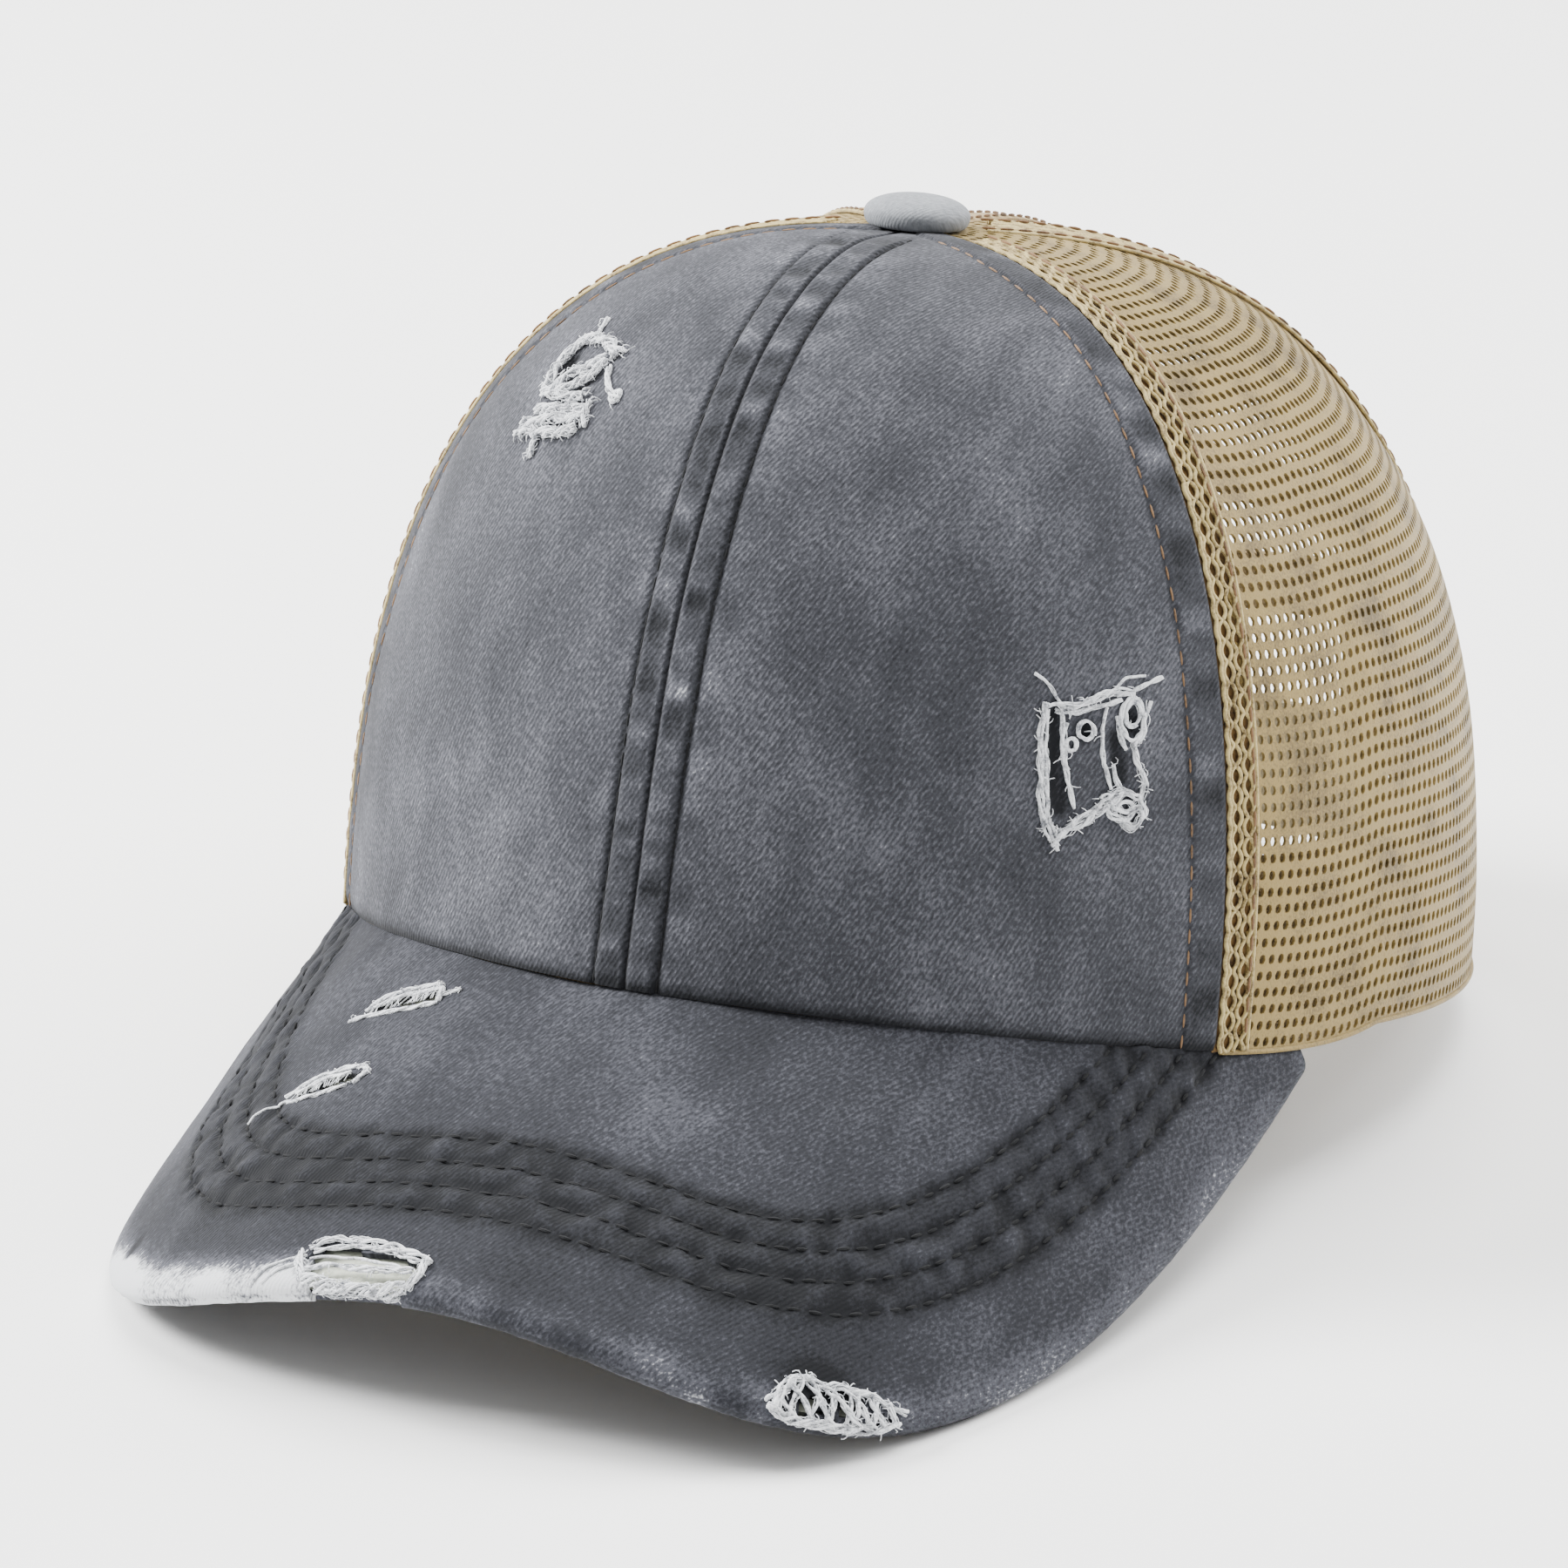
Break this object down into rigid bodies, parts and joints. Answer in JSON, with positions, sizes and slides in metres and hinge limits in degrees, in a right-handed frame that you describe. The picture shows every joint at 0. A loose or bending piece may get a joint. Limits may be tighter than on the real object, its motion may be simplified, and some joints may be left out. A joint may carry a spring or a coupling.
{
  "type": "ponytail baseball cap",
  "caption": "Curved-visor cap with worn grey twill front, khaki net sides and back, and a tall ponytail opening crossed by elastic bands",
  "frame": {"origin": "under the middle of the cap, on the surface that it rests on", "axes": "front of the visor -Y, wearer's left +X, up +Z; the cap is symmetric about X = 0 apart from its worn holes, its crossing bands and its strap's lap"},
  "size_m": [0.1686, 0.2542, 0.1337],
  "materials": {
    "grey_twill": "washed cotton twill, brushed and worn",
    "visor_twill": "washed cotton twill, stitched in rows",
    "button_cloth": "twill pressed over a metal button",
    "khaki_net": "knitted polyester net",
    "visor_board": "pressed board",
    "tan_sweatband": "plain woven band",
    "khaki_tape": "folded woven tape",
    "khaki_elastic": "woven elastic",
    "loop_strap": "hook-and-loop strap"
  },
  "bodies": {
    "root": {"front_panel_left": "grey_twill", "front_panel_right": "grey_twill", "side_mesh_left": "khaki_net", "side_mesh_right": "khaki_net", "back_mesh_left": "khaki_net", "back_mesh_right": "khaki_net", "visor_top": "visor_twill", "visor_board": "visor_board", "visor_under": "visor_twill", "button": "button_cloth", "sweatband": "tan_sweatband", "opening_binding": "khaki_tape", "band_upper_a": "khaki_elastic", "band_upper_b": "khaki_elastic", "band_lower": "khaki_elastic", "strap_left": "loop_strap", "strap_right": "loop_strap"}
  },
  "joints": []
}
